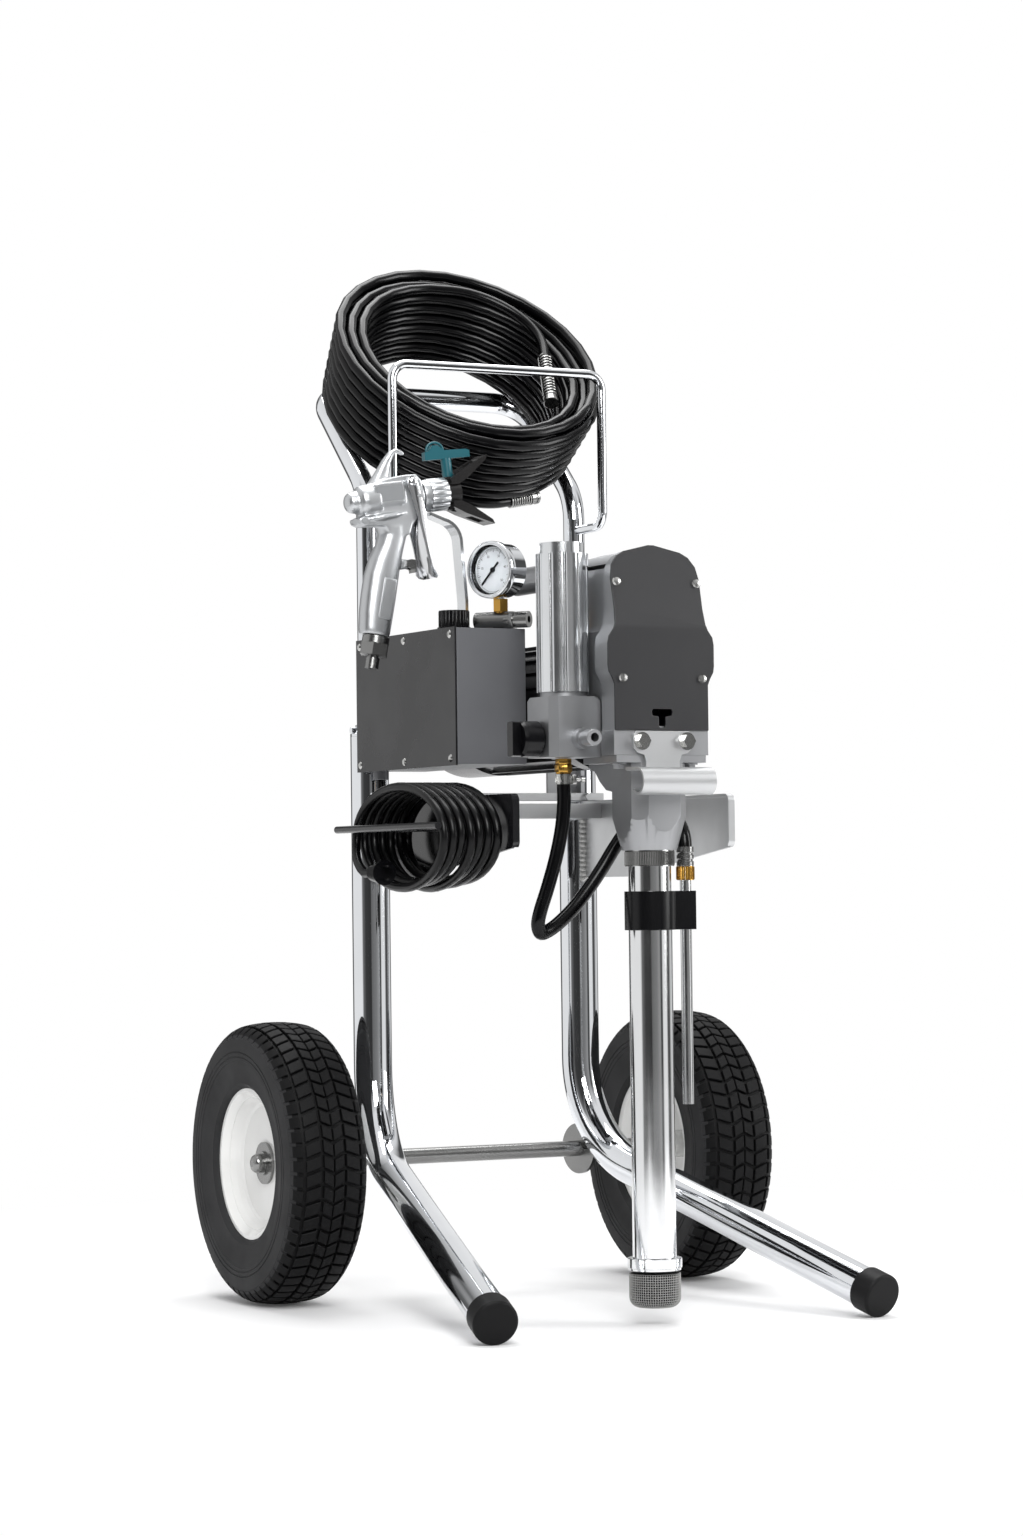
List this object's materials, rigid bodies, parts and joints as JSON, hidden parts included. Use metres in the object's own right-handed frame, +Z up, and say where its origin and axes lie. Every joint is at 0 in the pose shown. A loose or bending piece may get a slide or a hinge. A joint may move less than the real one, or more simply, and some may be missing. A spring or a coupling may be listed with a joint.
{
  "type": "airless paint sprayer",
  "caption": "Upright two-wheeled cart with a piston pump, electric drive, control box, spray gun and a coiled spray hose on its handle.",
  "frame": {"origin": "on the floor, at the bottom centre of the part's bounding box, between the legs", "axes": "+X to the part's right seen from the pump side, +Y towards the wheels and the back of the cart, +Z up; the pump, cover and pail hook face -Y"},
  "size_m": [0.5414, 0.604, 1.0641],
  "materials": {
    "chrome": "bright plated or polished steel",
    "steel": "plain machined steel",
    "black_paint": "satin black",
    "steel_painted": "dark grey, fine texture",
    "white_paint": "gloss white",
    "tyre": "matt black rubber",
    "box_paint": "dark grey, fine texture",
    "board": "solder mask",
    "black_plastic": "matt",
    "brass": "plain",
    "lens": "clear",
    "cast": "as cast, satin",
    "teal_plastic": "moulded",
    "hose_black": "smooth cover, soft shine",
    "cord_black": "smooth jacket"
  },
  "bodies": {
    "cart": {"left_leg": "chrome", "right_leg": "chrome", "foot_caps": "black_paint", "axle": "steel", "axle_nuts": "steel", "left_side_plate": "steel_painted", "right_side_plate": "steel_painted", "cross_rail": "steel", "motor_bracket": "steel_painted", "tube_collars": "chrome", "cord_hanger": "black_paint", "control_box": "box_paint", "side_panel": "steel_painted", "box_screws": "chrome", "circuit_board": "board", "sensor_bar": "steel", "gauge_nut": "brass", "gauge_case": "chrome", "gauge_lens": "lens", "gun_holder": "cast", "motor_shell": "black_paint", "drive_housing": "cast", "pump_yoke": "cast", "pump_cylinder": "steel", "siphon_tube": "chrome", "strainer": "chrome", "tube_clip": "black_plastic", "drain_tube": "chrome", "drain_hose": "hose_black", "drain_barb": "brass", "front_cover": "steel_painted", "front_screws": "chrome", "pail_hook": "chrome", "manifold": "cast", "filter_tube": "cast", "filter_element": "steel", "gun_body": "cast", "gun_nut": "steel", "cord_lead": "cord_black", "power_cord": "cord_black", "cord_plug": "black_plastic"},
    "left_wheel": {"left_rim": "white_paint", "left_tyre": "tyre"},
    "right_wheel": {"right_rim": "white_paint", "right_tyre": "tyre"},
    "handle_frame": {"handle": "chrome", "hose_hoop": "chrome", "hose_coil": "hose_black", "hose_ends": "chrome"},
    "knob": {"pressure_knob": "black_plastic"},
    "needle": {"gauge_needle": "black_plastic"},
    "rotor": {"motor_rotor": "steel"},
    "crank": {"crank_gear": "steel"},
    "piston": {"piston_rod": "steel"},
    "valve": {"prime_valve": "black_plastic"},
    "trigger": {"gun_trigger": "chrome"},
    "lock": {"trigger_lock": "steel"},
    "guard": {"tip_guard": "black_plastic"},
    "key": {"tip_key": "teal_plastic"},
    "swivel": {"gun_swivel": "steel"}
  },
  "joints": [
    {"name": "left_wheel_spin", "type": "hinge", "parent": "cart", "child": "left_wheel", "pos_m": [-0.229, 0.15075, 0.14], "axis": [1, 0, 0], "continuous": true},
    {"name": "right_wheel_spin", "type": "hinge", "parent": "cart", "child": "right_wheel", "pos_m": [0.229, 0.15075, 0.14], "axis": [1, 0, 0], "continuous": true},
    {"name": "handle_slide", "type": "slide", "parent": "cart", "child": "handle_frame", "axis": [0, 0, 1], "range_m": [0, 0.08]},
    {"name": "knob_turn", "type": "hinge", "parent": "cart", "child": "knob", "pos_m": [-0.1235, -0.04875, 0.661], "axis": [0, 0, 1], "range_deg": [0, 270]},
    {"name": "needle_turn", "type": "hinge", "parent": "cart", "child": "needle", "pos_m": [-0.08449, -0.07224, 0.718], "axis": [0.9205, 0.3907, 0], "range_deg": [0, 270], "stiffness_Nm_per_rad": 0.001},
    {"name": "rotor_spin", "type": "hinge", "parent": "cart", "child": "rotor", "pos_m": [0, 0.00925, 0.588], "axis": [0, 1, 0], "continuous": true},
    {"name": "crank_spin", "type": "hinge", "parent": "cart", "child": "crank", "pos_m": [0, -0.14075, 0.632], "axis": [0, 1, 0], "continuous": true},
    {"name": "piston_slide", "type": "slide", "parent": "cart", "child": "piston", "axis": [0, 0, 1], "range_m": [0, 0.03]},
    {"name": "prime_turn", "type": "hinge", "parent": "cart", "child": "valve", "pos_m": [-0.105, -0.18075, 0.5503], "axis": [1, 0, 0], "range_deg": [0, 90]},
    {"name": "trigger_pull", "type": "hinge", "parent": "cart", "child": "trigger", "pos_m": [-0.16008, -0.02175, 0.80505], "axis": [0, 1, 0], "range_deg": [0, 8], "stiffness_Nm_per_rad": 2, "springref_deg": -5.73},
    {"name": "lock_turn", "type": "hinge", "parent": "cart", "child": "lock", "pos_m": [-0.161, -0.02175, 0.72635], "axis": [0, 1, 0], "range_deg": [0, 40]},
    {"name": "guard_turn", "type": "hinge", "parent": "cart", "child": "guard", "pos_m": [-0.11619, -0.02175, 0.79633], "axis": [0.9925, 0, 0.1219], "range_deg": [-90, 90]},
    {"name": "key_turn", "type": "hinge", "parent": "guard", "child": "key", "pos_m": [-0.11565, -0.02175, 0.81655], "axis": [-0.1219, 0, 0.9925], "range_deg": [0, 180]},
    {"name": "swivel_turn", "type": "hinge", "parent": "cart", "child": "swivel", "pos_m": [-0.17657, -0.02175, 0.75467], "axis": [-0.1736, 0, -0.9848], "continuous": true}
  ],
  "couplings": [
    {"joint": "crank_spin", "follows": "rotor_spin", "ratio": -0.37188}
  ]
}
